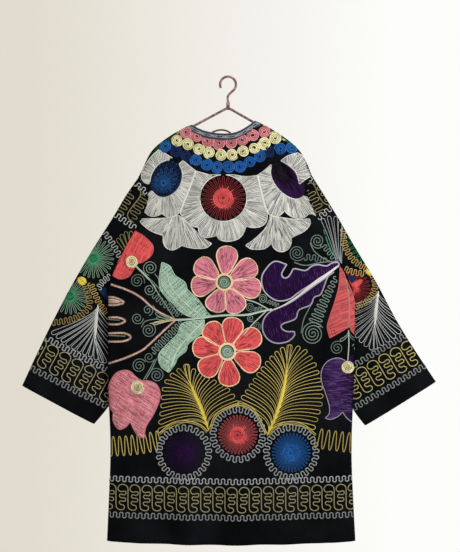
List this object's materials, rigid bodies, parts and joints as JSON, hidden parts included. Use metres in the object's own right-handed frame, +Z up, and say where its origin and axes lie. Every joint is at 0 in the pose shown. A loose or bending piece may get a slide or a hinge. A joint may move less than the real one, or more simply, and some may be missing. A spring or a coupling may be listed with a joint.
{
  "type": "embroidered robe on a hanger",
  "caption": "Knee-length open-front robe of thin dark cloth with wide sleeves, dense floral embroidery and a braided neck edge, hanging on a thin wire hanger",
  "frame": {"origin": "inside the top of the hanger's hook, where a peg or a rail carries it", "axes": "X to the right seen from the robe's back, Y from the robe's back to its open front, Z up"},
  "size_m": [1.039, 0.0668, 1.1736],
  "materials": {
    "black_cloth": "matte cotton under silk thread",
    "grey_braid": "matte woven braid",
    "loop_cord": "matte cord",
    "wrapped_wire": "wire wound with matte tape"
  },
  "bodies": {
    "root": {"back_panel": "black_cloth", "front_left": "black_cloth", "front_right": "black_cloth", "sleeve_left": "black_cloth", "sleeve_right": "black_cloth", "neck_braid": "grey_braid", "hanging_loop": "loop_cord", "hanger": "wrapped_wire"}
  },
  "joints": []
}
